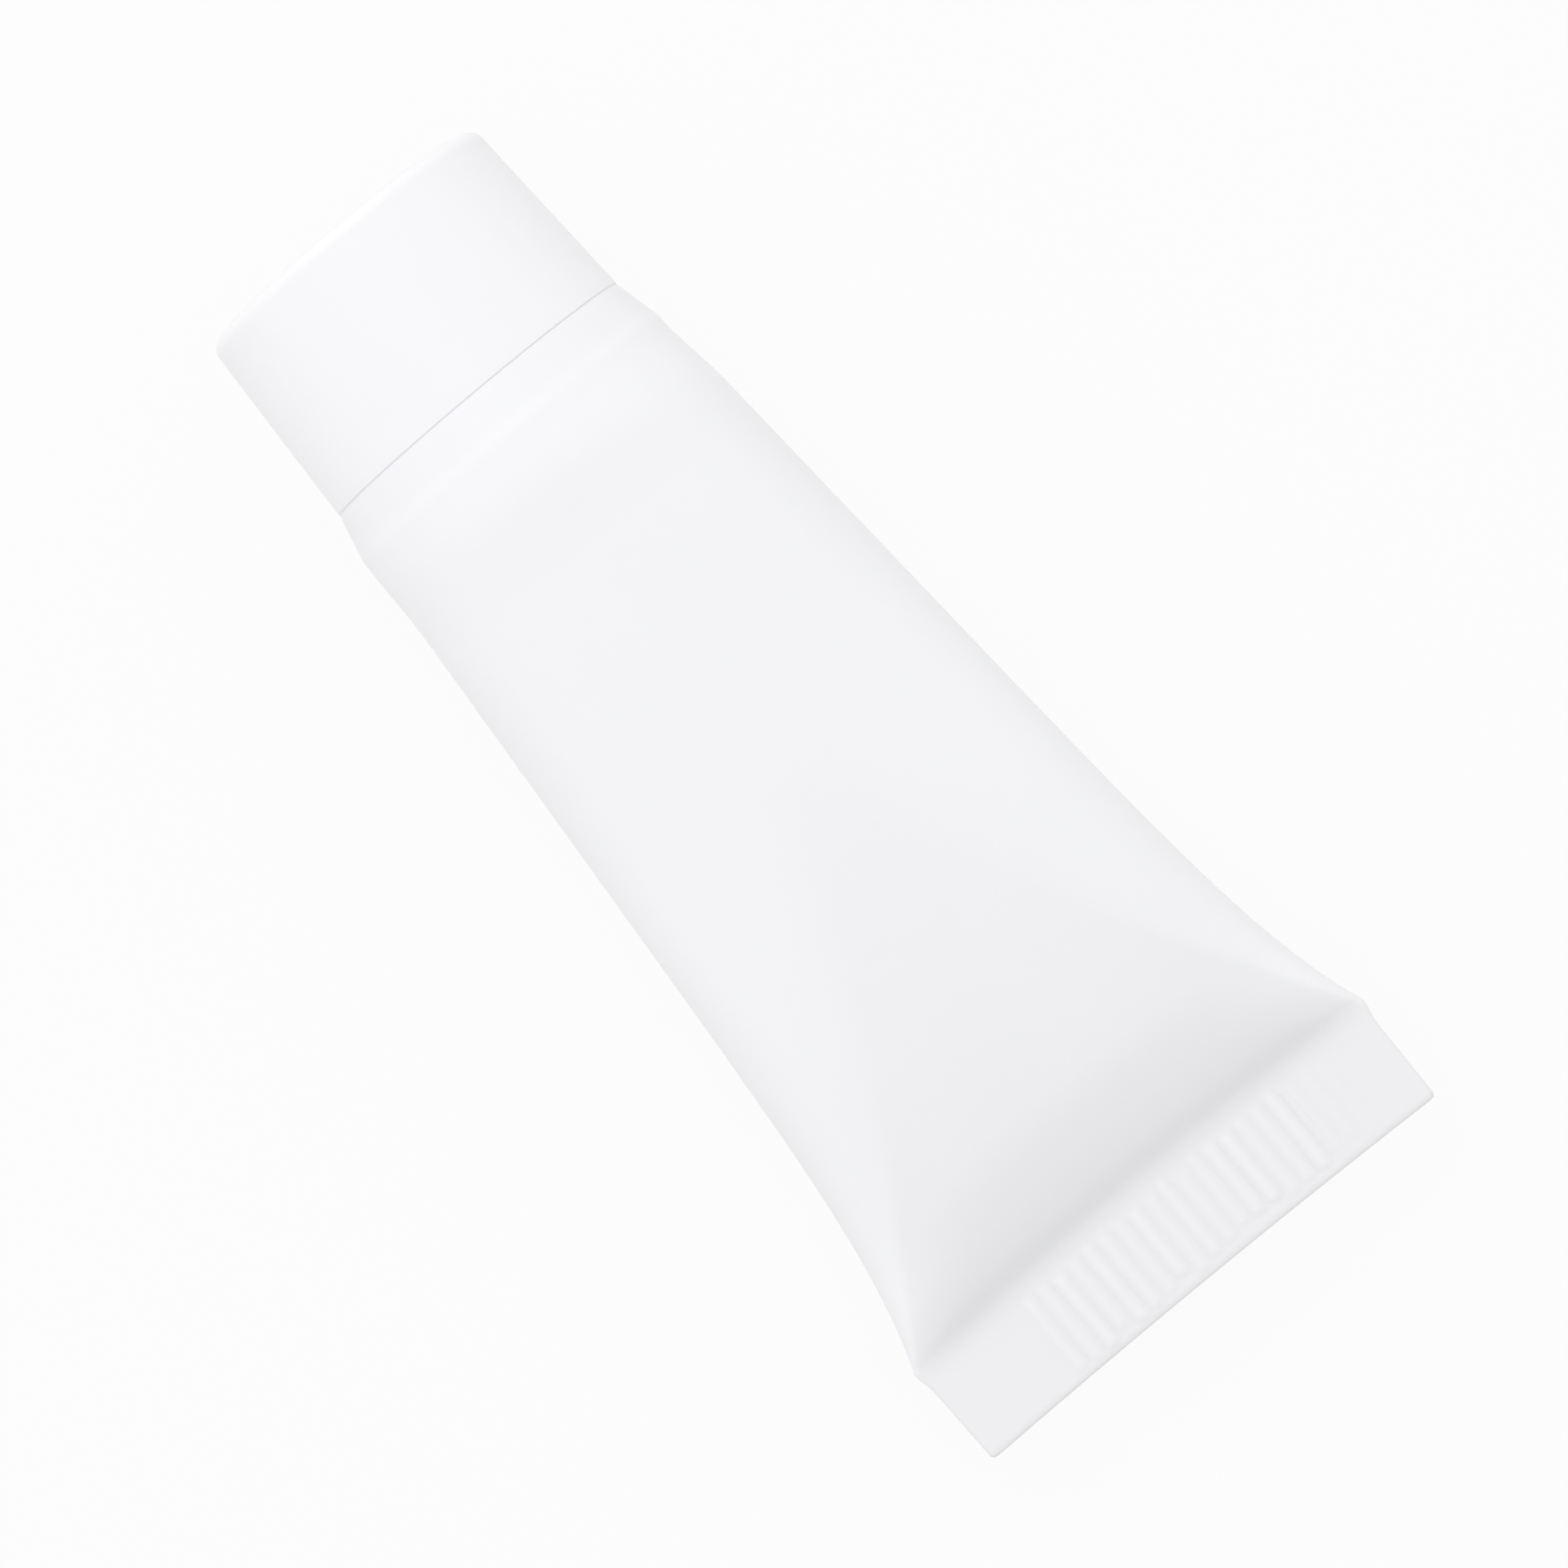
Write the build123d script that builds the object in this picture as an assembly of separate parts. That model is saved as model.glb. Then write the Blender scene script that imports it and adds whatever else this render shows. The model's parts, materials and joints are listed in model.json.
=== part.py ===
from build123d import *
import os
from math import atan2, cos, pi, radians, sin, sqrt, tan

# A plain squeeze tube of lotion with a screw cap, lying on its belly.
# Every piece is built round the tube's own axis, with height 0 at the rim of the shoulder. The cap
# is above that height and the body, which flattens into the crimp, is below it. At the end the
# whole tube is laid down on the belly, cap towards +Y, flat side up.

# Sleeve
tube_diameter = 28.0
sleeve_wall = 0.5
body_length = 70.6

# How the round sleeve turns flat. Part of its growth in width is even, and the rest comes late.
# A flat facet opens on the top and the bottom, from a narrow crest to the crimp's whole width.
# The start of the facet and the stations of the sections are shares of the body's length.
even_flare = 0.67
late_flare_power = 9
facet_start = 0.42
facet_power = 1.25
crest_half_width = 0.5
body_stations = (0, 0.12, 0.25, 0.38, 0.5, 0.61, 0.71, 0.8, 0.87, 0.93, 0.97, 1)

# Crimp, the heat-sealed fin. The heat shrinks the sleeve's girth a little, and past the line of
# the seal the fin draws in before it runs on nearly straight to the cut end.
crimp_length = 8.9
crimp_thickness = 0.9
seal_shrink = 0.17
crimp_draw_in = 0.4
crimp_draw_length = 2.0
crimp_taper = 0.3
crimp_corner = 0.3
rib_count = 18
rib_pitch = 1.45
rib_width = 0.95
rib_crest = 0.35
rib_height = 0.16
rib_margin = 0.4
seal_run_in = 1.1

# Shoulder, where the sleeve's end is drawn in over the moulded head
seam_diameter = 26.2
shoulder_height = 4.4
rim_height = 0.8
rim_round = 3.0
rim_round_share = 0.95

# Moulded head with its threaded neck
head_wall = 1.0
landing_width = 1.2
shoulder_slope = 30.0
neck_diameter = 13.2
neck_wall = 1.3
orifice_diameter = 5.0
orifice_wall = 1.0
neck_lip_chamfer = 0.4

# Screw thread, one start, right hand
thread_pitch = 2.5
thread_depth = 0.8
thread_root_width = 1.3
thread_crest_width = 0.6
thread_clearance = 0.2
thread_bite = 0.2
neck_thread_turns = 2.0
cap_thread_turns = 1.5
thread_top_margin = 2.6

# Screw cap and its liner
seam_gap = 0.1
rim_clearance = 0.5
cap_height = 15.3
cap_base_diameter = 26.3
cap_top_diameter = 24.8
cap_wall = 1.2
cap_roof = 1.3
cap_edge_round = 1.0
cap_rim_chamfer = 0.1
boss_wall = 1.1
boss_clearance = 1.2
web_count = 4
web_thickness = 0.8
web_depth = 6.0
liner_thickness = 1.0
liner_side_gap = 0.2
liner_seat_gap = 0.1

# Filling, and how the tube lies
fill_gap = 0.15
fill_run_in = 2.2
rest_tilt = 5.6
belly_flat_depth = 0.25
belly_samples = 200

tube_radius = tube_diameter / 2
seam_radius = seam_diameter / 2
neck_radius = neck_diameter / 2
bore_radius = neck_radius - neck_wall
crimp_half_thickness = crimp_thickness / 2

# The flattened sleeve keeps the round sleeve's girth but for the seal's shrinkage, so the crimp is
# half of that girth wide, less what its two rounded edges take.
crimp_half_width = pi * (tube_radius - seal_shrink) / 2 - (pi / 2 - 1) * crimp_half_thickness

cap_base = shoulder_height + seam_gap
cap_top = cap_base + cap_height
roof_underside = cap_top - cap_roof
liner_top = roof_underside - liner_seat_gap
neck_top = liner_top - liner_thickness - liner_seat_gap

# The shoulder's flat landing starts at the seam. It reaches in past the cap's rim as well, so that
# the slope up to the neck rises inside the rim.
cap_rim_bore_radius = cap_base_diameter / 2 - cap_wall
landing_radius = min(seam_radius - sleeve_wall - landing_width, cap_rim_bore_radius - rim_clearance)
neck_root_height = shoulder_height + (landing_radius - neck_radius) * tan(radians(shoulder_slope))
boss_bore_radius = neck_radius + thread_depth + thread_clearance
boss_radius = boss_bore_radius + boss_wall
neck_thread_start = neck_top - thread_top_margin - neck_thread_turns * thread_pitch
cap_thread_start = neck_thread_start + thread_pitch / 2


def half_width(t):
    """Half the sleeve's width at share t of the body, from the round rim to the crimp."""
    growth = even_flare * t + (1 - even_flare) * t**late_flare_power
    return tube_radius + (crimp_half_width - tube_radius) * growth


def facet_half_width(t):
    """Half the width of the flat facet across the sleeve's top and bottom."""
    widest = crimp_half_width - crimp_half_thickness
    opened = max(0, t - facet_start) / (1 - facet_start)
    return crest_half_width + (widest - crest_half_width) * opened**facet_power


def half_height(t):
    """Half the sleeve's height, from a girth that stays the same until the seal shrinks it."""
    side = half_width(t) - facet_half_width(t)
    girth_radius = tube_radius - seal_shrink * t**late_flare_power
    mean_side = girth_radius - 2 * facet_half_width(t) / pi
    return sqrt(2 * mean_side**2 - side**2)


def round_section(inset):
    """The sleeve's round end, parted into the same four edges as the sections below it."""
    radius = tube_radius - inset
    crest = crest_half_width / tube_radius * 180 / pi
    right = CenterArc((0, 0), radius, crest - 90, 180 - 2 * crest)
    top = CenterArc((0, 0), radius, 90 - crest, 2 * crest)
    left = CenterArc((0, 0), radius, 90 + crest, 180 - 2 * crest)
    bottom = CenterArc((0, 0), radius, 270 - crest, 2 * crest)
    return make_face([right, top, left, bottom])


def flat_section(t, inset):
    """Two flat facets joined by two half ellipses."""
    facet = facet_half_width(t)
    side = half_width(t) - facet - inset
    height = half_height(t) - inset
    right = EllipticalCenterArc((facet, 0), side, height, -90, arc_size=180)
    top = Line((facet, height), (-facet, height))
    left = EllipticalCenterArc((-facet, 0), side, height, 90, arc_size=180)
    bottom = Line((-facet, -height), (facet, -height))
    return make_face([right, top, left, bottom])


def body_loft(inset, end):
    """The body's form from the rim down to share end, moved inwards by inset."""
    shares = [t for t in body_stations if t < end] + [end]
    sections = [round_section(inset)]
    sections += [Pos(0, 0, -t * body_length) * flat_section(t, inset) for t in shares[1:]]
    return loft(sections)


def shoulder_points(inset):
    """Corners of the shoulder's outline, moved inwards by inset."""
    rim = (tube_radius - inset, 0)
    bend = (tube_radius - inset, rim_height)
    seam = (seam_radius - inset, shoulder_height)
    return rim, bend, seam


def shoulder_outline(inset):
    """The shoulder's outline with its rounded bend, which the straight rim below it limits."""
    rim, bend, seam = shoulder_points(inset)
    turn = atan2(abs(tube_radius - seam_radius), shoulder_height - rim_height)
    bend_round = min(rim_round, rim_round_share * rim_height / tan(turn / 2))
    return FilletPolyline(rim, bend, seam, radius=bend_round - inset)


def shoulder_plug(inset):
    """The space inside the shoulder's outline, as a turned solid."""
    rim, _, seam = shoulder_points(inset)
    closing = Polyline(seam, (0, shoulder_height), (0, 0), rim)
    return revolve(Plane.XZ * make_face([shoulder_outline(inset), closing]), Axis.Z)


def crimp_fin():
    """The two walls sealed into one flat strip, with ribs pressed into both faces."""
    seal = crimp_half_width
    waist = seal - crimp_draw_in
    foot = waist - crimp_taper / 2
    waist_level = -body_length - crimp_draw_length
    far = -body_length - crimp_length
    outline = Polyline(
        (-seal, -body_length), (-waist, waist_level), (-foot, far), (foot, far), (waist, waist_level),
        (seal, -body_length), close=True)
    strip = extrude(Plane.XZ * make_face(outline), crimp_half_thickness, both=True)
    corners = strip.edges().filter_by(Axis.Y).group_by(Axis.Z)[0]
    strip = fillet(corners, crimp_corner)
    return strip + crimp_ribs()


def crimp_ribs():
    """A row of low ribs along the tube's axis, the same on both faces."""
    rise = crimp_half_thickness + rib_height
    half_foot = rib_width / 2
    half_crest = rib_crest / 2
    section = make_face(Polyline(
        (-half_foot, 0), (half_foot, 0), (half_foot, crimp_half_thickness), (half_crest, rise),
        (-half_crest, rise), (-half_foot, crimp_half_thickness), close=True))
    rib = Pos(0, 0, -body_length - rib_margin) * extrude(section, -(crimp_length - 2 * rib_margin))
    first = -(rib_count - 1) / 2 * rib_pitch
    ribs = [Pos(first + i * rib_pitch, 0, 0) * rib for i in range(rib_count)]
    return [turn * rib for rib in ribs for turn in (Rot(0, 0, 0), Rot(0, 0, 180))]


def thread(root_radius, crest_radius, start, turns):
    """A helical ridge whose foot bites into the wall that carries it."""
    outwards = 1 if crest_radius > root_radius else -1
    path = Helix(thread_pitch, turns * thread_pitch, root_radius, center=(0, 0, start))
    depth = abs(crest_radius - root_radius)
    ridge = make_face(Polyline(
        (-outwards * thread_bite, -thread_root_width / 2),
        (0, -thread_root_width / 2),
        (outwards * depth, -thread_crest_width / 2),
        (outwards * depth, thread_crest_width / 2),
        (0, thread_root_width / 2),
        (-outwards * thread_bite, thread_root_width / 2),
        close=True))
    across = Plane(origin=path @ 0, x_dir=(1, 0, 0), z_dir=path % 0)
    return sweep(across * ridge, path=path, is_frenet=True)


def head():
    """Shoulder plate and neck, moulded as one and welded inside the sleeve's end."""
    rim, _, seam = shoulder_points(sleeve_wall)
    drop = head_wall / cos(radians(shoulder_slope))
    inner_rim = tube_radius - sleeve_wall - head_wall
    inner_landing = seam_radius - sleeve_wall - head_wall
    bore_foot = neck_root_height - drop + (neck_radius - bore_radius) * tan(radians(shoulder_slope))
    inside = Polyline(
        seam,
        (landing_radius, shoulder_height),
        (neck_radius, neck_root_height),
        (neck_radius, neck_top),
        (orifice_diameter / 2, neck_top),
        (orifice_diameter / 2, neck_top - orifice_wall),
        (bore_radius, neck_top - orifice_wall),
        (bore_radius, bore_foot),
        (landing_radius, shoulder_height - drop),
        (inner_landing, shoulder_height - drop),
        (inner_rim, 0),
        rim)
    shell = revolve(Plane.XZ * make_face([shoulder_outline(sleeve_wall), inside]), Axis.Z)
    lip = shell.edges().filter_by(GeomType.CIRCLE).group_by(Axis.Z)[-1].sort_by(SortBy.RADIUS)[-1]
    shell = chamfer(lip, neck_lip_chamfer)
    return shell + thread(neck_radius, neck_radius + thread_depth, neck_thread_start, neck_thread_turns)


def cap():
    """Outer skirt, roof, threaded boss and the webs between boss and skirt, in one moulding."""
    base = cap_base_diameter / 2
    top = cap_top_diameter / 2
    draft = (base - top) / cap_height
    roof_radius = top - cap_wall + draft * cap_roof
    shell = revolve(Plane.XZ * make_face(Polyline(
        (0, cap_top), (top, cap_top), (base, cap_base), (base - cap_wall, cap_base),
        (roof_radius, roof_underside), (boss_radius, roof_underside),
        (boss_radius, neck_root_height + boss_clearance),
        (boss_bore_radius, neck_root_height + boss_clearance),
        (boss_bore_radius, roof_underside), (0, roof_underside), close=True)), Axis.Z)
    circles = shell.edges().filter_by(GeomType.CIRCLE)
    shell = fillet(circles.group_by(Axis.Z)[-1], cap_edge_round)
    rim_edges = shell.edges().filter_by(GeomType.CIRCLE).group_by(Axis.Z)[0]
    shell = chamfer(rim_edges, cap_rim_chamfer)
    web = Pos((boss_radius + roof_radius) / 2, 0, roof_underside - web_depth / 2) * Box(
        roof_radius - boss_radius + cap_wall / 2, web_thickness, web_depth)
    webs = [Rot(0, 0, 360 / web_count * i) * web for i in range(web_count)]
    inner = thread(boss_bore_radius, boss_bore_radius - thread_depth, cap_thread_start, cap_thread_turns)
    return shell + webs + inner


def liner():
    """Soft disc between the cap's roof and the lip of the neck."""
    disc = Cylinder(boss_bore_radius - liner_side_gap, liner_thickness)
    return Pos(0, 0, liner_top - liner_thickness / 2) * disc


def filling_of_head():
    """Lotion that stands in the shoulder and the neck's bore."""
    drop = head_wall / cos(radians(shoulder_slope)) + fill_gap
    radius = bore_radius - fill_gap
    inner_rim = tube_radius - sleeve_wall - head_wall - fill_gap
    inner_landing = seam_radius - sleeve_wall - head_wall - fill_gap
    slope_foot = neck_root_height - drop + (neck_radius - radius) * tan(radians(shoulder_slope))
    level = neck_top - orifice_wall - fill_gap
    return revolve(Plane.XZ * make_face(Polyline(
        (0, 0), (inner_rim, 0), (inner_landing, shoulder_height - drop),
        (landing_radius - fill_gap, shoulder_height - drop), (radius, slope_foot),
        (radius, level), (0, level), close=True)), Axis.Z)


def lowest_belly_point():
    """How far the belly reaches below the rim's centre once the tube is tilted."""
    shares = [i / belly_samples for i in range(belly_samples + 1)]
    tilt = radians(rest_tilt)
    return max(t * body_length * sin(tilt) + half_height(t) * cos(tilt) for t in shares)


def above(level):
    """Everything over the given height in the laid-down tube's frame."""
    reach = 3 * (body_length + cap_height)
    return Pos(0, 0, level + reach / 2) * Box(reach, reach, reach)


# Lying down, the axis points along +Y and rises by the tilt, and the tube's flat side looks up.
axis_height = lowest_belly_point() - belly_flat_depth
laid_down = Pos(0, 0, axis_height) * Rot(rest_tilt - 90, 0, 0)

outside = laid_down * (body_loft(0, 1) + shoulder_plug(0) + crimp_fin())
cavity = laid_down * (body_loft(sleeve_wall, 1 - seal_run_in / body_length) + shoulder_plug(sleeve_wall))
filled = body_loft(sleeve_wall + fill_gap, 1 - fill_run_in / body_length) + filling_of_head()

pieces = {
    "tube_sleeve": (outside & above(0)) - (cavity & above(sleeve_wall)),
    "tube_head": laid_down * head(),
    "lotion": (laid_down * filled) & above(sleeve_wall + fill_gap),
    "cap_liner": laid_down * liner(),
    "screw_cap": laid_down * cap(),
}

# The origin is on the table, under the middle of the tube's length.
boxes = [piece.bounding_box() for piece in pieces.values()]
middle = (min(box.min.Y for box in boxes) + max(box.max.Y for box in boxes)) / 2

os.makedirs("parts", exist_ok=True)
for name, piece in pieces.items():
    export_step(Pos(0, -middle, 0) * piece, "parts/" + name + ".step")
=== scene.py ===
# %% [markdown]
# # A plain squeeze tube of lotion
# The tube lies on its belly with the screw cap on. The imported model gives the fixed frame: the size of
# the tube, the line of its axis and the cap, which stays as it is. This lesson shapes the soft sleeve, which
# turns from round to flat, then gives every piece its finish, and then sets up the light and the camera.

# %% Load the frame
import json
import random
from math import atan2, cos, pi, radians, sin, sqrt

import bmesh
import bpy
import numpy as np
from mathutils import Matrix, Vector

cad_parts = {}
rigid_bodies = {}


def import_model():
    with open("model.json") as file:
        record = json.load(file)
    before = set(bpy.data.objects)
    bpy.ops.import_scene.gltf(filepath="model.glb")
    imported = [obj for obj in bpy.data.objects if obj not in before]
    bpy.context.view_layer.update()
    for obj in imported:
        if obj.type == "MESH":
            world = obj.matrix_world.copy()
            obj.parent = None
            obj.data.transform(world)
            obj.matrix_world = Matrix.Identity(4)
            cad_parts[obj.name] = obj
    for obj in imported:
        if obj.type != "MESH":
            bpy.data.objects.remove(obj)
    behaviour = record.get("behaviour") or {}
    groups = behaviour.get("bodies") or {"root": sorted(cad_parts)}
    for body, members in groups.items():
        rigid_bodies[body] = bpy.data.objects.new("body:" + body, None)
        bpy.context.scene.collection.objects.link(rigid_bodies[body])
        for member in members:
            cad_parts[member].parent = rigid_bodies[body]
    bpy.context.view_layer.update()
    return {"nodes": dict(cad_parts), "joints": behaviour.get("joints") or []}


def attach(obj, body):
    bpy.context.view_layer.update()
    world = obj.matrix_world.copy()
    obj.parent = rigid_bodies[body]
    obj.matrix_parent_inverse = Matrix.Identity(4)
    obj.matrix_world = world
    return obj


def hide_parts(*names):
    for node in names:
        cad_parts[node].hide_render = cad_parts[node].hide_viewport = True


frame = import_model()
print("nodes:", sorted(frame["nodes"]))

# %% [markdown]
# ## Sizes
# Blender works in metres, so one named millimetre keeps the sizes readable. The tube's own lines come
# from the hinge of the cap: its axis is the axis of the tube, and its place is the middle of the cap's top.

# %% Sizes of the tube
mm = 0.001
tube_radius = 14 * mm
sleeve_wall = 0.5 * mm
body_length = 70.6 * mm
crimp_length = 8.9 * mm
crimp_half_thickness = 0.45 * mm
seal_shrink = 0.17 * mm
seam_radius = 13.1 * mm
shoulder_height = 4.4 * mm
rim_height = 0.8 * mm
bend_round = 3 * mm
seam_gap = 0.1 * mm
cap_height = 15.3 * mm
crimp_half_width = pi * (tube_radius - seal_shrink) / 2 - (pi / 2 - 1) * crimp_half_thickness

# %% The tube's own axes
hinge = next(joint for joint in frame["joints"] if joint["name"] == "cap_turn")
along = Vector(hinge["axis"]).normalized()
across = Vector((1, 0, 0))
upwards = across.cross(along)
rim_centre = Vector(hinge["pos_m"]) - along * (shoulder_height + seam_gap + cap_height)
lying = Matrix((across, upwards, -along)).transposed().to_4x4()
lying.translation = rim_centre
print("rim centre in mm:", [round(c / mm, 2) for c in rim_centre])

# %% [markdown]
# ## The sleeve's section
# An extruded sleeve is round at the shoulder and pressed flat at the other end, and it can't stretch, so its
# girth stays the same until the heat of the seal shrinks it a little. Each section is made of two flats,
# above and below, joined by two half ellipses. The width and the flats follow simple curves, and the girth
# then gives the height.

# %% How the section changes
even_flare = 0.67
late_flare_power = 9
facet_start = 0.42
facet_power = 1.25
crest_half_width = 0.5 * mm


def half_width(share):
    """Half the sleeve's width at a share of the body's length."""
    growth = even_flare * share + (1 - even_flare) * share**late_flare_power
    return tube_radius + (crimp_half_width - tube_radius) * growth


def flat_half_width(share):
    """Half the width of the flat across the top and the bottom."""
    widest = crimp_half_width - crimp_half_thickness
    opened = max(0, share - facet_start) / (1 - facet_start)
    return crest_half_width + (widest - crest_half_width) * opened**facet_power


def half_height(share):
    """Half the sleeve's height, which the girth leaves over."""
    side = half_width(share) - flat_half_width(share)
    girth_radius = tube_radius - seal_shrink * share**late_flare_power
    mean_side = girth_radius - 2 * flat_half_width(share) / pi
    return sqrt(2 * mean_side**2 - side**2)


for share in (0, 0.5, 1):
    both = [round(2 * half(share) / mm, 1) for half in (half_width, half_height)]
    print("width and height at", share, both)

# %% [markdown]
# Beside the seal the filling presses the walls apart, most of all in the middle, so they stay full until
# the last millimetres, drop steeply and then run out softly into the fin. The jaws also never meet the tube
# quite squarely: the line where the seal starts lies a little past the jaws' edge and bows towards the cap,
# and the end is cut a little askew. The soft body leans a hair to one side of the stiff head.

# %% How the body meets the seal
seal_swell = 0.42 * mm
seal_swell_reach = 5.5 * mm
seal_step_start = 0.5 * mm
seal_step = 1.8 * mm
seal_slope = 0.9
seal_run_out = 0.9 * mm
seal_bow = 0.85 * mm
seal_beyond = 0.5 * mm
seal_bow_reach = 7 * mm
cut_bow = 0.3 * mm
cut_skew = 0.22 * mm
body_lean = 0.33 * mm
lean_start = 6 * mm


def eased(value):
    """A smooth step from 0 to 1."""
    value = min(1, max(0, value))
    return value * value * (3 - 2 * value)


def swell(left, fullness):
    """What the filling adds to the half height, so far from the seal, where the wall is so full."""
    closer = (1 + 3 * fullness) / 4
    risen = eased((left / closer - seal_step_start) / seal_step)
    return seal_swell * risen * (1 - eased((left - seal_step_start - seal_step) / seal_swell_reach))


def run_out(left):
    """The soft hollow by which the steep wall runs out into the fin."""
    within = max(0, seal_run_out - abs(left))
    return seal_slope * within**2 / (4 * seal_run_out)


# %% [markdown]
# ## Points round a section
# A quarter of the section is enough, because the rest is its mirror image. The quarter runs from the side
# up the ellipse and along the flat to the middle. Film that is bent out of its round shape creases along the
# edge of each flat. A power below 2 in place of the ellipse's square gives that crease. The points are spread
# evenly along the wall, as the plastic itself is, so that no stretch of the mesh is coarser than another.

# %% A quarter of the section
crease = 0.5
columns = 560
quarter_columns = columns // 4
arc_samples = np.linspace(0, pi / 2, 240)


def quarter(width, flat, height, power):
    """Evenly spaced points (x, y) from the side of a section to its middle."""
    outwards = np.clip(np.cos(arc_samples), 0, 1) ** (2 / power)
    x = np.append(flat + (width - flat) * outwards, 0)
    y = np.append(height * np.sin(arc_samples), height)
    run = np.concatenate(([0], np.cumsum(np.hypot(np.diff(x), np.diff(y)))))
    even = np.linspace(0, run[-1], quarter_columns + 1)
    return np.interp(even, run, x), np.interp(even, run, y)


print("columns round the sleeve:", columns)

# %% [markdown]
# ## The rows of the mesh
# One sheet of mesh covers the whole sleeve. It starts inside, where the seal begins, runs up the inner wall
# to the shoulder, turns over the cut edge under the cap, and comes back down the outside to the end of the
# crimp. Each row says how deep it lies below the rim, how far it stands inside the outer surface, and the
# half width, flat, half height and power of its section.

# %% Rows of the body
round_share = 0.12


def body_row(depth, inset):
    """A row of the body, inside or outside, which is a plain circle at the rim."""
    share = depth / body_length
    flat = flat_half_width(share)
    blend = eased(share / round_share)
    width = half_width(share) - inset
    height = half_height(share) * blend + half_width(share) * (1 - blend) - inset
    power = 2 if inset else 2 - crease * eased((share - facet_start) / (1 - facet_start))
    return depth, inset, width, flat * blend, height, power


def round_row(depth, radius, inset):
    """A row of the shoulder, which is a circle."""
    return depth, inset, radius, 0, radius, 2


inner_rows = 22
outer_rows = 92
seal_run_in = 1.1 * mm
row_crowding = 1.35


def crowded(start, end, count):
    """Depths from start to end that crowd towards the seal."""
    return [start + (end - start) * (1 - (1 - i / count) ** row_crowding) for i in range(count + 1)]


inner_depths = crowded(0, body_length - seal_run_in, inner_rows)
inside = [body_row(depth, sleeve_wall) for depth in reversed(inner_depths)]
outside = [body_row(depth, 0) for depth in crowded(0, body_length, outer_rows)]
print("rows of the body:", len(inside), "inside and", len(outside), "outside")

# %% [markdown]
# The shoulder is a short cone that draws the sleeve in to the cap. A rounded bend joins it to the body: an
# arc that touches both lines, worked out from the angle between them. The lip at its end comes so near to the
# cap's rim that the seam is no more than a fine line.

# %% Rows of the shoulder
shoulder_turn = atan2(tube_radius - seam_radius, shoulder_height - rim_height)
tangent_length = bend_round * np.tan(shoulder_turn / 2)
bend_steps = 8
cone_steps = 6
lip_round = 0.015 * mm
lip_gap = 0.01 * mm
lip_rise = shoulder_height + seam_gap - lip_gap


def shoulder_rows(inset):
    """Rows from the rim over the bend and up the cone to the seam."""
    rows = []
    for i in range(1, bend_steps + 1):
        turned = shoulder_turn * i / bend_steps
        rise = rim_height - tangent_length + bend_round * sin(turned)
        rows.append(round_row(-rise, tube_radius - bend_round * (1 - cos(turned)) - inset, inset))
    top_rise, top_radius = -rows[-1][0], rows[-1][2]
    for i in range(1, cone_steps + 1):
        share = i / cone_steps
        rise = top_rise + (lip_rise - lip_round - top_rise) * share
        radius = top_radius + (seam_radius - inset - top_radius) * share
        rows.append(round_row(-rise, radius, inset))
    return rows


lip = [round_row(-lip_rise, seam_radius - sleeve_wall + lip_round, sleeve_wall),
       round_row(-lip_rise, seam_radius - lip_round, 0)]
print("rows of the shoulder:", len(shoulder_rows(0)))

# %% [markdown]
# ## The crimp
# Heated jaws weld the two walls into a flat fin, and the teeth of the jaws leave a field of fine ribs along
# the tube. The field doesn't reach the corners, and it fades out towards one of them. No two ribs are pressed
# quite alike, so each gets its own depth and length from a seeded draw. The mesh also keeps two numbers at
# each vertex for its colour. One runs from a rib's valley to its crest: it paints shade into the valleys and
# light onto the crests, as the ribs' low relief would catch them, and the pressed film is also a little more
# see-through in the valleys. The other rises towards the cut and paints the shade of the cut end's narrow
# face.

# %% Rows of the crimp
crimp_draw_in = 0.28 * mm
crimp_draw_length = 2 * mm
crimp_taper = 0.15 * mm
corner_round = 0.3 * mm
crimp_end = body_length + crimp_length
crimp_rows = 30
edge_round = 0.1 * mm
# How far the painted shade of the cut end reaches onto the fin.
cut_shade_reach = 0.65 * mm


def crimp_row(depth, half_thickness):
    """A row of the fin, narrower towards the cut end and rounded at its corners."""
    down = depth - body_length
    into_corner = max(0, down - (crimp_length - corner_round))
    rounding = corner_round - sqrt(corner_round**2 - min(into_corner, corner_round)**2)
    narrowing = crimp_draw_in * eased(down / crimp_draw_length) + crimp_taper * down / crimp_length
    width = crimp_half_width - narrowing - rounding
    return depth, 0, width, width - crimp_half_thickness, half_thickness, 2


crimp_depths = crowded(body_length, crimp_end, crimp_rows)[1:-2]
fin = [crimp_row(depth, crimp_half_thickness) for depth in crimp_depths]
fin += [crimp_row(crimp_end - edge_round, crimp_half_thickness),
        crimp_row(crimp_end - edge_round / 3, crimp_half_thickness - edge_round / 3),
        crimp_row(crimp_end, crimp_half_thickness - edge_round),
        crimp_row(crimp_end, 0)]
print("rows of the crimp:", len(fin))

# %% The pressed ribs
rib_pitch = 1.45 * mm
rib_rise = 0.22 * mm
rib_field = (-12.4 * mm, 12.7 * mm)
rib_faint_end = 17.4 * mm
rib_faint_share = 0.3
rib_fade = 0.5 * mm
rib_start = body_length + 0.55 * mm
rib_end = crimp_end - 0.35 * mm
rib_count = 40
rib_draw = random.Random(7)
rib_depths = [rib_draw.uniform(0.4, 1) for _ in range(rib_count)]
rib_late_starts = [rib_draw.uniform(0, 0.8) * mm for _ in range(rib_count)]
rib_early_ends = [rib_draw.uniform(0, 0.9) * mm for _ in range(rib_count)]


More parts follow.
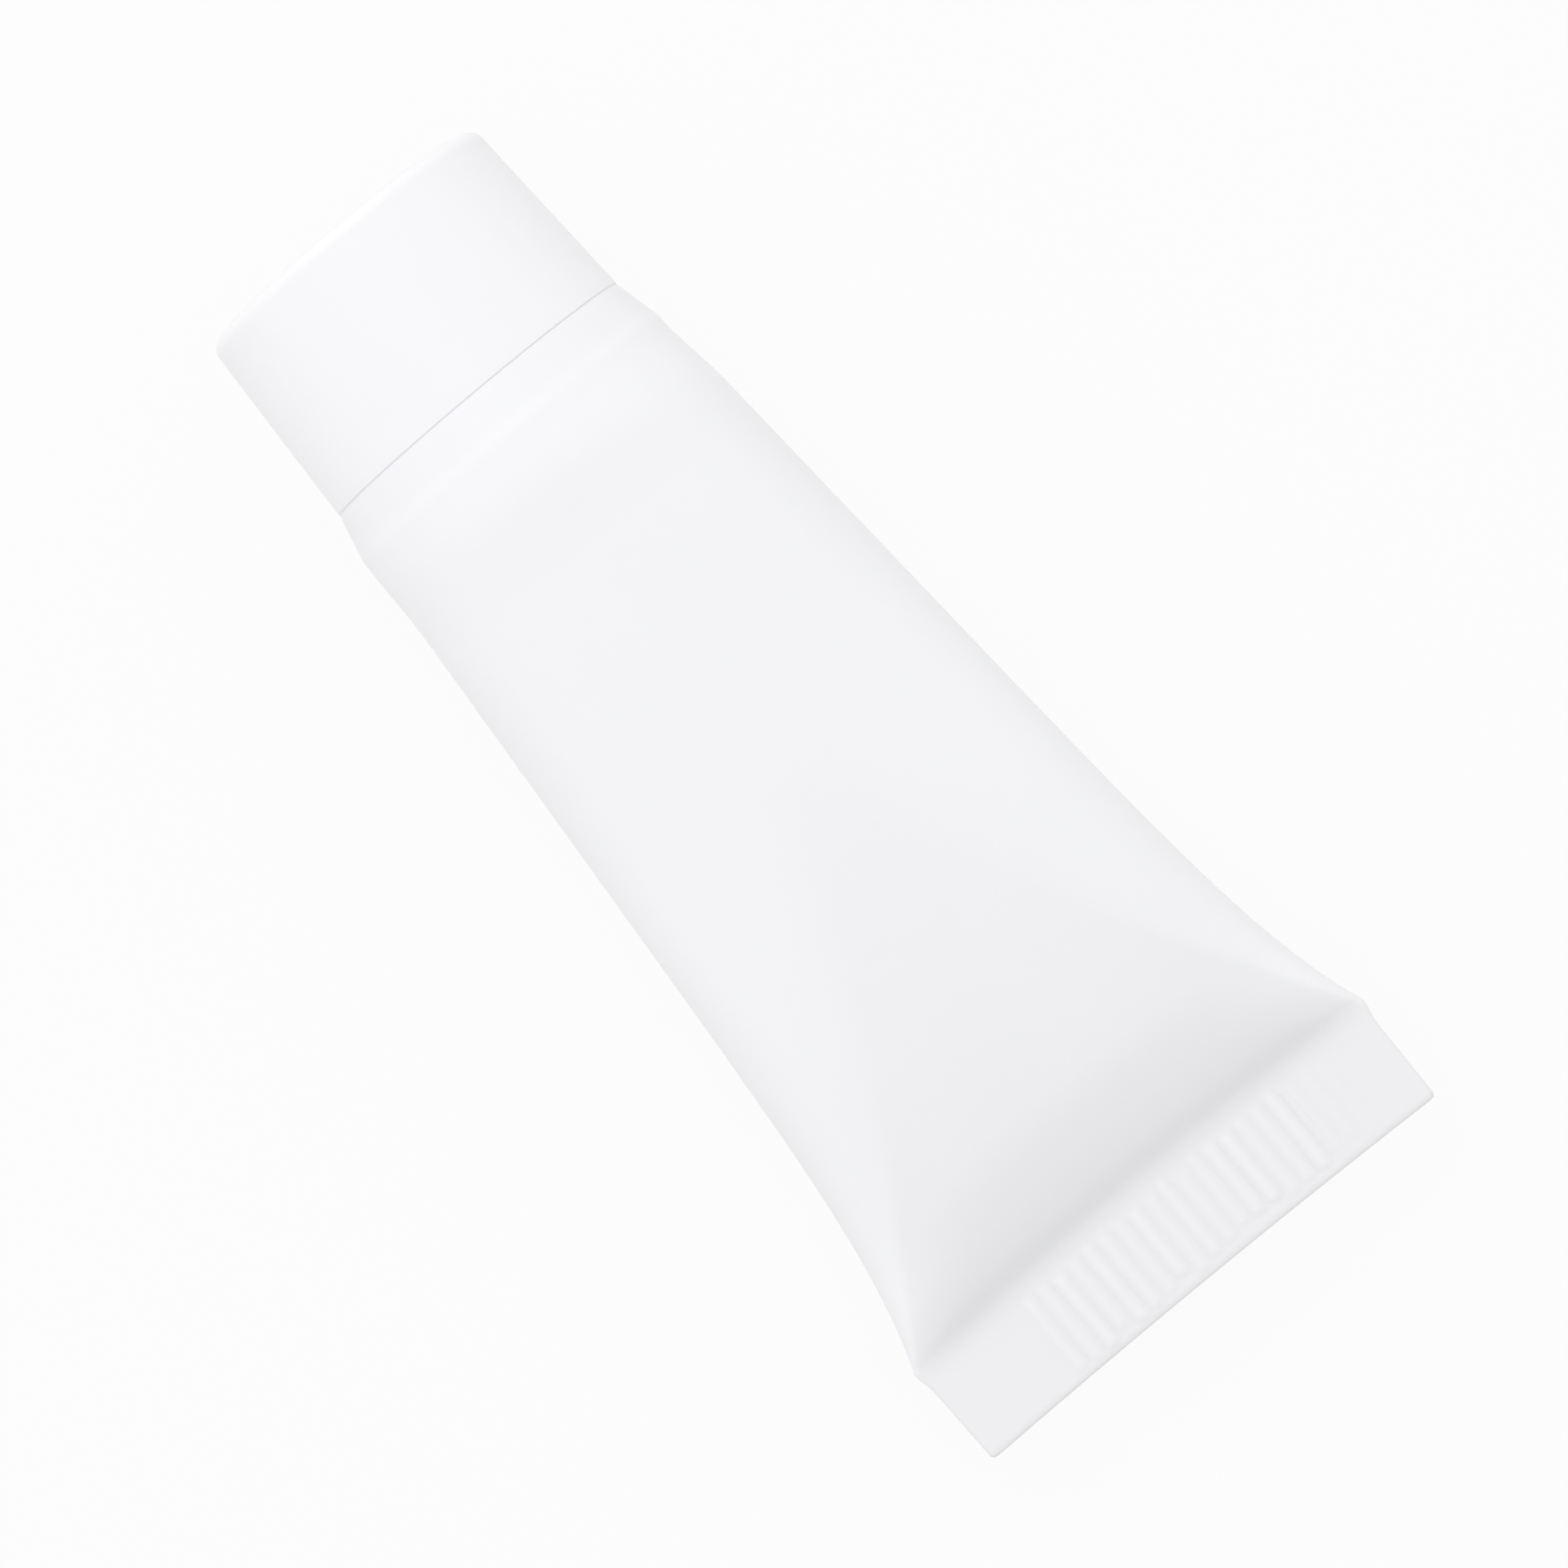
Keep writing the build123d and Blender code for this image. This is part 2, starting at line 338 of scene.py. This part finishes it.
def rib_press(x, depth):
    """How strongly the ribs are pressed at a place on the fin, and where it lies from valley to crest."""
    low, high = rib_field
    within = eased((x - low) / rib_fade) * eased((high - x) / rib_fade + rib_faint_share)
    faint = rib_faint_share * eased((rib_faint_end - x) / (4 * rib_fade)) * eased((x - high) / rib_fade)
    place = (x - low) / rib_pitch
    rib = int(place) % rib_count
    start = rib_start + rib_late_starts[rib]
    end = rib_end - rib_early_ends[rib]
    length = eased((depth - start) / rib_fade) * eased((end - depth) / rib_fade)
    return rib_depths[rib] * length * max(within, faint), abs(sin(pi * place))


# %% [markdown]
# ## Bending a plain tube into the sleeve
# `create_cone` makes an open cylinder with one face per column. Cutting its long edges gives the rows. Then
# every vertex is moved, much as a sculptor would, from its place on the cylinder to its place on the sleeve.

# %% An open cylinder with the right rows
stations = inside + shoulder_rows(sleeve_wall) + lip + shoulder_rows(0)[::-1] + outside + fin
print("stations:", len(stations))


def open_cylinder():
    """A tube of unit size with one ring for each station."""
    mesh = bmesh.new()
    bmesh.ops.create_cone(mesh, cap_ends=False, segments=columns, radius1=1, radius2=1, depth=1)
    long_edges = [edge for edge in mesh.edges if abs(edge.verts[0].co.z - edge.verts[1].co.z) > 0.5]
    bmesh.ops.subdivide_edges(mesh, edges=long_edges, cuts=len(stations) - 2, use_grid_fill=True)
    return mesh


# %% Where each vertex goes
def sleeve_place(x, y, depth, inset):
    """A point of the sleeve from its place in the section, with what the sealing jaws do to it."""
    spread = x / crimp_half_width
    crown = 1 - spread**2
    fullness = max(0, 1 - spread**6)
    left = body_length - depth
    down_fin = eased(-left / crimp_length)
    drawn = crown * seal_bow - (1 - spread**8) * seal_beyond
    if inset == 0:
        y += np.sign(y) * sqrt(fullness) * run_out(left)
    if left > 0:
        y += np.sign(y) * sqrt(fullness) * swell(left, fullness)
        drawn *= 1 - eased(left / seal_bow_reach)
    else:
        drawn += (crown * cut_bow - drawn) * down_fin
        if inset == 0:
            strength, crest = rib_press(x, depth)
            y += np.sign(y) * rib_rise * strength * crest
    lean = body_lean * eased(depth / lean_start) * max(0, 1 - depth / body_length)
    place = lying @ Vector((x + lean, y, depth - drawn - cut_skew * (1 - spread) * down_fin))
    place.z = max(place.z, inset)
    return place


def bend_to_sleeve(mesh):
    """Moves every vertex of the open cylinder to the sleeve."""
    quarters = [quarter(*section) for _, _, *section in stations]
    rib_light_and_shade = mesh.verts.layers.float.new("rib_light_and_shade")
    cut_edge_shade = mesh.verts.layers.float.new("cut_edge_shade")
    for vertex in mesh.verts:
        row = round((vertex.co.z + 0.5) * (len(stations) - 1))
        column = round(atan2(vertex.co.y, vertex.co.x) / (2 * pi) * columns)
        quadrant, step = divmod(abs(column), quarter_columns)
        step = quarter_columns - step if quadrant == 1 else step
        step = 0 if quadrant == 2 else step
        xs, ys = quarters[row]
        x = xs[step] * (1 if quadrant == 0 else -1)
        y = ys[step] * (1 if column > 0 else -1)
        depth, inset = stations[row][:2]
        strength, crest = rib_press(x, depth)
        # Painted shade in the rib valleys and painted light on the crests.
        vertex[rib_light_and_shade] = 0.5 + strength * (crest**2 - 0.5)
        # Painted shade that rises towards the cut end.
        vertex[cut_edge_shade] = eased(1 - (crimp_end - depth) / cut_shade_reach)
        vertex.co = sleeve_place(x, y, depth, inset)


# %% [markdown]
# The first row and the last one are flat lines, where the upper and lower walls meet. Merging the vertices
# that lie on each other closes the sleeve there. Edges that turn sharply keep a crisp look, and the rest of
# the sleeve is shaded smooth.

# %% Make the sleeve
sharp_turn = radians(50)
merge_reach = 0.002 * mm


def finished_object(mesh, name):
    """Closes a mesh, turns its faces outwards and makes it an object."""
    bmesh.ops.remove_doubles(mesh, verts=mesh.verts, dist=merge_reach)
    bmesh.ops.recalc_face_normals(mesh, faces=mesh.faces)
    for face in mesh.faces:
        face.smooth = True
    for edge in mesh.edges:
        edge.smooth = len(edge.link_faces) == 2 and edge.calc_face_angle() < sharp_turn
    data = bpy.data.meshes.new(name)
    mesh.to_mesh(data)
    mesh.free()
    made = bpy.data.objects.new(name, data)
    bpy.context.scene.collection.objects.link(made)
    return made


sleeve_mesh = open_cylinder()
bend_to_sleeve(sleeve_mesh)
sleeve = finished_object(sleeve_mesh, "soft_sleeve")
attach(sleeve, "tube")
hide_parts("tube_sleeve")
print("sleeve faces:", len(sleeve.data.polygons))

# %% [markdown]
# ## Shader maths in Python
# A small class wraps a socket of the node tree, so that sums and products of sockets are written as plain
# arithmetic. One method adds any other node: its settings first, and then the values or links of its inputs.

# %% A socket that can do arithmetic
class Signal:
    """An output socket that takes part in Python arithmetic."""

    def __init__(self, tree, socket=None):
        self.tree = tree
        self.socket = socket

    def node(self, kind, settings=None, inputs=None, output=0):
        """Adds a node of any kind and returns one of its outputs."""
        made = self.tree.nodes.new(kind)
        for name, value in (settings or {}).items():
            setattr(made, name, value)
        for name, value in (inputs or {}).items():
            if isinstance(value, Signal):
                self.tree.links.new(value.socket, made.inputs[name])
            else:
                made.inputs[name].default_value = value
        return Signal(self.tree, made.outputs[output])

    def maths(self, operation, first, second):
        """Adds one step of arithmetic."""
        return self.node("ShaderNodeMath", {"operation": operation}, {0: first, 1: second})

    def __add__(self, other):
        return self.maths("ADD", self, other)

    def __sub__(self, other):
        return self.maths("SUBTRACT", self, other)

    def __rsub__(self, other):
        return self.maths("SUBTRACT", other, self)

    def __mul__(self, other):
        return self.maths("MULTIPLY", self, other)

    __radd__ = __add__
    __rmul__ = __mul__


# %% [markdown]
# ## The finishes
# All of it is white plastic, but no two pieces are the same white or the same gloss. The sleeve is a soft
# film with faint lines from the die that it was drawn through, the cap is hard and smoother, the liner is
# foam and the lotion is wet. One function sets up a material, and each finish then adds what is its own.

# %% A material to start from
def start_material(name, specular=0.5, under_skin=0.0, skin_depth=1 * mm):
    """An empty plastic: the tree's starting point, its shader and its place in the object's frame."""
    material = bpy.data.materials.new(name)
    material.use_nodes = True
    tree = material.node_tree
    shader = tree.nodes["Principled BSDF"]
    shader.inputs["IOR"].default_value = 1.5
    shader.inputs["Specular IOR Level"].default_value = specular
    shader.inputs["Subsurface Weight"].default_value = under_skin
    shader.inputs["Subsurface Radius"].default_value = (1, 0.9, 0.8)
    shader.inputs["Subsurface Scale"].default_value = skin_depth
    maker = Signal(tree)
    place = maker.node("ShaderNodeTexCoord", output="Object")
    return material, shader, maker, place


def connect(maker, shader, **sockets):
    """Links signals to the shader's inputs."""
    for name, signal in sockets.items():
        maker.tree.links.new(signal.socket, shader.inputs[name.replace("_", " ")])


def noise(maker, place, stretch, detail=3, roughness=0.5):
    """Noise over the object's own space, with as many grains to the metre as stretch says."""
    scaled = maker.node("ShaderNodeMapping", {"vector_type": "POINT"}, {"Vector": place, "Scale": stretch})
    return maker.node("ShaderNodeTexNoise", {"noise_dimensions": "3D"},
                      {"Vector": scaled, "Scale": 1.0, "Detail": detail, "Roughness": roughness})


def tint(maker, mask, first, second):
    """A colour between two shades."""
    return maker.node("ShaderNodeMix", {"data_type": "RGBA"},
                      {"Factor": mask, 6: (*first, 1), 7: (*second, 1)}, output=2)


def blended(maker, mask, first, second):
    """A colour between two colours that are signals themselves."""
    return maker.node("ShaderNodeMix", {"data_type": "RGBA"},
                      {"Factor": mask, 6: first, 7: second}, output=2)


def bump(maker, height, distance):
    """A surface raised by a height signal."""
    return maker.node("ShaderNodeBump", None, {"Strength": 1.0, "Distance": distance, "Height": height})


# %% [markdown]
# The film is bright where white cream stands behind it. Over the moulded head it is painted a shade less
# bright: painted shade that tones down the light the shoulder's cone takes from the box beyond the cap.
# Near the seal the film is painted greyer: painted shade for the walls that slope down to the seal, away
# from the lamps. On the fin two layers are welded into one, which is lighter again. The masks of these zones
# come from the distance to the seal, in the object's own space.

# %% Where shade is painted by the seal and where the film is welded
seal_point = rim_centre - along * body_length
# Where the painted shade beside the seal begins and where it is full, and how much nearer the seal it starts
# at the sides.
seal_shade_starts = 12 * mm
seal_shade_full = 4.2 * mm
seal_shade_side = 16.4 * mm
seal_shade_side_reach = 4.2 * mm
weld_edge = 0.4 * mm
# Where the painted shade over the moulded head comes in, just above the rim.
head_shade_starts = body_length + 0.4 * mm
head_shade_covers = body_length + 2.2 * mm


def reach(maker, place, direction):
    """How far a place lies from the middle of the seal, in one direction."""
    from_seal = maker.node("ShaderNodeVectorMath", {"operation": "SUBTRACT"},
                           {0: place, 1: tuple(seal_point)})
    return maker.node("ShaderNodeVectorMath", {"operation": "DOT_PRODUCT"},
                      {0: from_seal, 1: tuple(direction)}, output="Value")


def mask(maker, distance, start, end):
    """0 up to a start, 1 from an end on, and a smooth step between."""
    return maker.node("ShaderNodeMapRange", {"interpolation_type": "SMOOTHSTEP"},
                      {"Value": distance, "From Min": start, "From Max": end})


def seal_shade_mask(maker, place):
    """0 away from the seal and 1 by it, where shade is painted on the walls that slope down to the seal."""
    sideways = reach(maker, place, across) * (1 / seal_shade_side)
    squared = sideways * sideways
    down = reach(maker, place, -along) - squared * squared * seal_shade_side_reach
    return mask(maker, down, -seal_shade_starts, -seal_shade_full)


def welded_mask(maker, place):
    """0 on the body and 1 on the fin, with the bow of the seal's line between them."""
    sideways = reach(maker, place, across) * (1 / crimp_half_width)
    squared = sideways * sideways
    eighth = squared * squared * squared * squared
    down = reach(maker, place, -along) + (1 - squared) * seal_bow - (1 - eighth) * seal_beyond
    return mask(maker, down, -weld_edge, weld_edge)


# %% The sleeve's film
def sleeve_film():
    """Satin white film with drawing lines along the tube and a faint unevenness, with shade painted beside
    the seal, over the head and at the cut end, and light and shade painted across the ribs.
    """
    material, shader, maker, place = start_material("satin_film", specular=0.35, under_skin=0.12,
                                                    skin_depth=0.6 * mm)
    cloud = noise(maker, place, (70, 40, 70))
    lines = noise(maker, place, (1500, 14, 1500), detail=2)
    peel = noise(maker, place, (650, 650, 650), detail=2)
    backed = tint(maker, cloud, (0.909, 0.909, 0.934), (0.939, 0.939, 0.959))
    # Painted shade beside the seal, for the walls that slope down to it.
    painted_seal_shade = tint(maker, cloud, (0.83, 0.83, 0.855), (0.858, 0.858, 0.878))
    # Shade painted into the rib valleys and light onto the crests of the fin's colour.
    rib_light_and_shade_mask = maker.node("ShaderNodeAttribute", {"attribute_name": "rib_light_and_shade"}, output="Fac")
    welded = tint(maker, rib_light_and_shade_mask, (0.848, 0.848, 0.872), (0.906, 0.906, 0.928))
    # Painted shade over the moulded head, which tones down the light that the shoulder's cone takes from the
    # box beyond the cap.
    painted_head_shade = tint(maker, cloud, (0.88, 0.88, 0.905), (0.91, 0.91, 0.93))
    head_shade_mask = mask(maker, reach(maker, place, along), head_shade_starts, head_shade_covers)
    body = blended(maker, head_shade_mask, blended(maker, seal_shade_mask(maker, place), backed, painted_seal_shade), painted_head_shade)
    # Painted shade along the cut end, for the shade of its narrow face.
    cut_edge_shade = maker.node("ShaderNodeAttribute", {"attribute_name": "cut_edge_shade"}, output="Fac")
    painted_cut_shade = tint(maker, cloud, (0.775, 0.775, 0.795), (0.795, 0.795, 0.81))
    colour = blended(maker, welded_mask(maker, place), body, blended(maker, cut_edge_shade, welded, painted_cut_shade))
    connect(maker, shader, Base_Color=colour, Roughness=0.42 + 0.12 * cloud + 0.04 * peel,
            Normal=bump(maker, lines * 0.5 + peel, 0.012 * mm))
    return material


# %% The cap's plastic
def cap_plastic():
    """Hard moulded plastic, a cleaner white than the sleeve, with the mould's fine grain."""
    material, shader, maker, place = start_material("moulded_cap", specular=0.35, under_skin=0.1,
                                                    skin_depth=0.8 * mm)
    cloud = noise(maker, place, (50, 50, 50))
    grain = noise(maker, place, (2400, 2400, 2400), detail=2)
    colour = tint(maker, cloud, (0.904, 0.904, 0.929), (0.924, 0.924, 0.944))
    connect(maker, shader, Base_Color=colour, Roughness=0.4 + 0.1 * cloud,
            Normal=bump(maker, grain, 0.004 * mm))
    return material


# %% The hidden pieces' finishes
def head_plastic():
    """The shoulder and neck, moulded in a slightly translucent white."""
    material, shader, maker, place = start_material("moulded_head", under_skin=0.15)
    cloud = noise(maker, place, (90, 90, 90))
    colour = tint(maker, cloud, (0.88, 0.88, 0.9), (0.92, 0.92, 0.93))
    connect(maker, shader, Base_Color=colour, Roughness=0.35 + 0.12 * cloud,
            Normal=bump(maker, cloud, 0.01 * mm))
    return material


def liner_foam():
    """Closed cells of foam, with a rough skin."""
    material, shader, maker, place = start_material("foam_liner", specular=0.3)
    cells = maker.node("ShaderNodeTexVoronoi", {"feature": "F1"}, {"Vector": place, "Scale": 3500.0})
    colour = tint(maker, cells, (0.8, 0.8, 0.8), (0.9, 0.9, 0.9))
    connect(maker, shader, Base_Color=colour, Roughness=0.7 + 0.15 * cells,
            Normal=bump(maker, cells, 0.03 * mm))
    return material


def lotion_cream():
    """Wet cream."""
    material, shader, maker, place = start_material("lotion_cream", under_skin=0.3, skin_depth=2 * mm)
    ripples = noise(maker, place, (220, 220, 220))
    colour = tint(maker, ripples, (0.93, 0.91, 0.87), (0.96, 0.95, 0.92))
    connect(maker, shader, Base_Color=colour, Roughness=0.15 + 0.15 * ripples,
            Normal=bump(maker, ripples, 0.1 * mm))
    return material


# %% Give each piece its finish
def dress(piece, material):
    """Puts one material on a piece, in place of what it had."""
    if not piece.data.materials:
        piece.data.materials.append(material)
    for i in range(len(piece.data.materials)):
        piece.data.materials[i] = material
    print(piece.name, "is finished in", material.name)


dress(sleeve, sleeve_film())
dress(frame["nodes"]["screw_cap"], cap_plastic())
dress(frame["nodes"]["tube_head"], head_plastic())
dress(frame["nodes"]["cap_liner"], liner_foam())
dress(frame["nodes"]["lotion"], lotion_cream())

# %% [markdown]
# ## The floor and the air around
# A white pack is shown on white. The floor looks pure white to the camera, yet its own surface is a pale
# matt one, so that it throws back no more light than paper would and still takes the shadow under the tube.

# %% Rays that see the background
def seen_directly(maker):
    """1 for rays from the camera, also by way of a reflection or a clear piece, and 0 for rays that light."""
    camera, glossy, clear = [maker.node("ShaderNodeLightPath", output=ray)
                             for ray in ("Is Camera Ray", "Is Glossy Ray", "Is Transmission Ray")]
    return maker.maths("MAXIMUM", maker.maths("MAXIMUM", camera, glossy), clear)


# %% Floor
floor_half = 2.0
floor_pale = (0.73, 0.73, 0.73, 1)
shadow_kept = 0.08

floor_mesh = bmesh.new()
bmesh.ops.create_grid(floor_mesh, x_segments=1, y_segments=1, size=floor_half)
floor_data = bpy.data.meshes.new("floor")
floor_mesh.to_mesh(floor_data)
floor_mesh.free()
floor = bpy.data.objects.new("floor", floor_data)
bpy.context.scene.collection.objects.link(floor)

floor_material = bpy.data.materials.new("white_floor")
floor_material.use_nodes = True
floor_tree = floor_material.node_tree
floor_shader = floor_tree.nodes["Principled BSDF"]
floor_shader.inputs["Base Color"].default_value = floor_pale
floor_shader.inputs["Roughness"].default_value = 0.9
floor_maker = Signal(floor_tree)
glow = floor_maker.node("ShaderNodeEmission", None, {"Color": (1, 1, 1, 1), "Strength": 1.0})
whitened = seen_directly(floor_maker) * (1 - shadow_kept)
matt_floor = Signal(floor_tree, floor_shader.outputs[0])
mixed = floor_maker.node("ShaderNodeMixShader", None, {0: whitened, 1: matt_floor, 2: glow})
floor_tree.links.new(mixed.socket, floor_tree.nodes["Material Output"].inputs["Surface"])
floor.data.materials.append(floor_material)

# %% World
world_strength = 0.838
world = bpy.data.worlds.new("studio")
bpy.context.scene.world = world
world.use_nodes = True
world_tree = world.node_tree
sky = world_tree.nodes["Background"]
sky_light = seen_directly(Signal(world_tree)) * (1 - world_strength) + world_strength
sky.inputs["Color"].default_value = (1, 1, 1, 1)
world_tree.links.new(sky_light.socket, sky.inputs["Strength"])

# %% [markdown]
# ## Light
# Soft boxes stand to the left and right of the tube and beyond the cap, and none at the crimp's side. Slopes
# that face the crimp are then the darkest, which shows how the walls close down to the seal.

# %% Soft boxes
def soft_box(name, place, target, size, power):
    """A square lamp that looks at a target."""
    data = bpy.data.lights.new(name, "AREA")
    data.shape = "SQUARE"
    data.size = size
    data.energy = power
    lamp = bpy.data.objects.new(name, data)
    bpy.context.scene.collection.objects.link(lamp)
    lamp.location = place
    lamp.rotation_euler = (Vector(target) - Vector(place)).to_track_quat("-Z", "Y").to_euler()
    return lamp


tube_middle = (0, 0, 0.01)
cap_middle = (0, 0.03, 0.01)
side_size, side_power = 0.4, 0.3
cap_side_size, cap_side_power = 0.35, 0.657
soft_box("left_box", (-0.6, 0.05, 0.23), tube_middle, side_size, side_power)
soft_box("right_box", (0.6, 0.05, 0.23), tube_middle, side_size, side_power)
soft_box("cap_side_box", (0, 0.4, 0.4), cap_middle, cap_side_size, cap_side_power)

# %% [markdown]
# ## Camera
# The tube is seen from almost straight above, through a long lens, with the cap at the upper left.

# %% Camera
image_side = 1932
focal_pixels = 6533
view_distance = 390 * mm
view_elevation = radians(87.05)
view_turn = radians(40)
looked_at = Vector((-0.92, -1.71, 8.0)) * mm

camera_data = bpy.data.cameras.new("camera")
camera_data.sensor_width = 36
camera_data.lens = camera_data.sensor_width * focal_pixels / image_side
camera = bpy.data.objects.new("camera", camera_data)
bpy.context.scene.collection.objects.link(camera)
bpy.context.scene.camera = camera
back = Vector((0, -cos(view_elevation), sin(view_elevation)))
camera_up = Vector((0, sin(view_elevation), cos(view_elevation)))
right = Vector((1, 0, 0))
turned_right = right * cos(view_turn) - camera_up * sin(view_turn)
turned_up = right * sin(view_turn) + camera_up * cos(view_turn)
camera.matrix_world = Matrix.Translation(looked_at + back * view_distance) @ Matrix(
    (turned_right, turned_up, back)).transposed().to_4x4()
print("lens in mm:", round(camera_data.lens, 1))

# %% [markdown]
# ## Finish
# The picture is shown as it is rendered, with no film look added.

# %% View settings
bpy.context.scene.view_settings.view_transform = "Standard"
